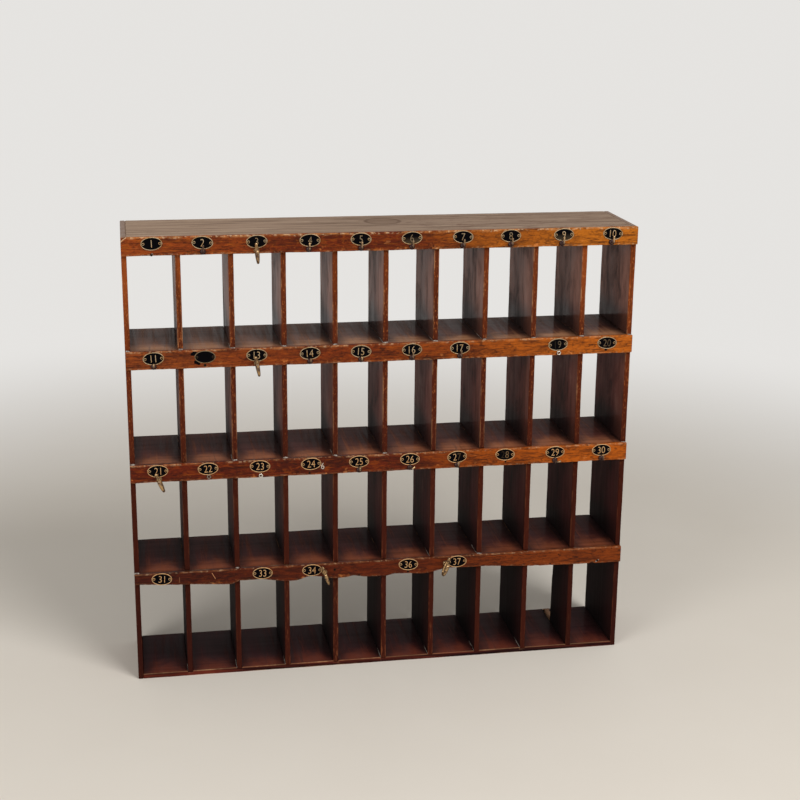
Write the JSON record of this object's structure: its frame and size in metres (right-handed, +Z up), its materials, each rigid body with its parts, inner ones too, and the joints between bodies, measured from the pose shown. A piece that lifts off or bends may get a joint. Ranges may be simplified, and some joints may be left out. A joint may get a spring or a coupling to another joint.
{
  "type": "pigeonhole mail sorter",
  "caption": "Open wooden pigeonhole rack for sorting letters, with cross-halved dividers and shelves, a rail along each shelf front and brass hooks on the rails.",
  "frame": {"origin": "middle of the rectangle that the rack stands on, on the floor", "axes": "+X to the right as seen from the front, +Y towards the open back, +Z up; the front with the rails faces -Y"},
  "size_m": [0.9, 0.1949, 0.81],
  "materials": {
    "dark_wood": "old stained softwood, dull",
    "faded_wood": "old stain faded to a grey tan, dull",
    "rail_wood": "old orange-brown varnish, worn on the edges",
    "bright_brass": "rubbed brass",
    "aged_brass": "dark tarnished brass"
  },
  "bodies": {
    "rack": {"left_side": "dark_wood", "right_side": "dark_wood", "bottom_board": "dark_wood", "top_board": "faded_wood", "shelf_high": "faded_wood", "shelf_middle": "dark_wood", "shelf_low": "dark_wood", "divider_1": "dark_wood", "divider_2": "dark_wood", "divider_3": "dark_wood", "divider_4": "dark_wood", "divider_5": "dark_wood", "divider_6": "dark_wood", "divider_7": "dark_wood", "divider_8": "dark_wood", "divider_9": "dark_wood", "rail_1": "rail_wood", "rail_2": "rail_wood", "rail_3": "rail_wood", "rail_4": "rail_wood", "cup_hook_02": "aged_brass", "cup_hook_04": "aged_brass", "cup_hook_05": "aged_brass", "cup_hook_06": "aged_brass", "cup_hook_07": "aged_brass", "cup_hook_08": "aged_brass", "cup_hook_09": "aged_brass", "cup_hook_10": "aged_brass", "cup_hook_11": "aged_brass", "cup_hook_14": "aged_brass", "cup_hook_15": "aged_brass", "cup_hook_16": "aged_brass", "cup_hook_17": "aged_brass", "cup_hook_25": "aged_brass", "cup_hook_26": "aged_brass", "cup_hook_27": "aged_brass", "cup_hook_29": "aged_brass", "cup_hook_30": "aged_brass", "screw_eye_19": "bright_brass", "screw_eye_22": "bright_brass", "screw_eye_23": "bright_brass"},
    "long_hook_03": {"long_hook_03": "bright_brass"},
    "long_hook_13": {"long_hook_13": "bright_brass"},
    "long_hook_21": {"long_hook_21": "bright_brass"},
    "long_hook_34": {"long_hook_34": "bright_brass"},
    "long_hook_37": {"long_hook_37": "bright_brass"}
  },
  "joints": [
    {"name": "long_hook_03_turn", "type": "hinge", "parent": "rack", "child": "long_hook_03", "pos_m": [-0.22425, -0.086, 0.7834], "axis": [0, 1, 0], "range_deg": [-86, 94]},
    {"name": "long_hook_13_turn", "type": "hinge", "parent": "rack", "child": "long_hook_13", "pos_m": [-0.22715, -0.086, 0.5864], "axis": [0, 1, 0], "range_deg": [-81, 99]},
    {"name": "long_hook_21_turn", "type": "hinge", "parent": "rack", "child": "long_hook_21", "pos_m": [-0.40055, -0.086, 0.3829], "axis": [0, 1, 0], "range_deg": [-67, 113]},
    {"name": "long_hook_34_turn", "type": "hinge", "parent": "rack", "child": "long_hook_34", "pos_m": [-0.11065, -0.086, 0.19], "axis": [0, 1, 0], "range_deg": [-71, 109]},
    {"name": "long_hook_37_turn", "type": "hinge", "parent": "rack", "child": "long_hook_37", "pos_m": [0.11365, -0.086, 0.1932], "axis": [0, 1, 0], "range_deg": [-112, 68]}
  ]
}
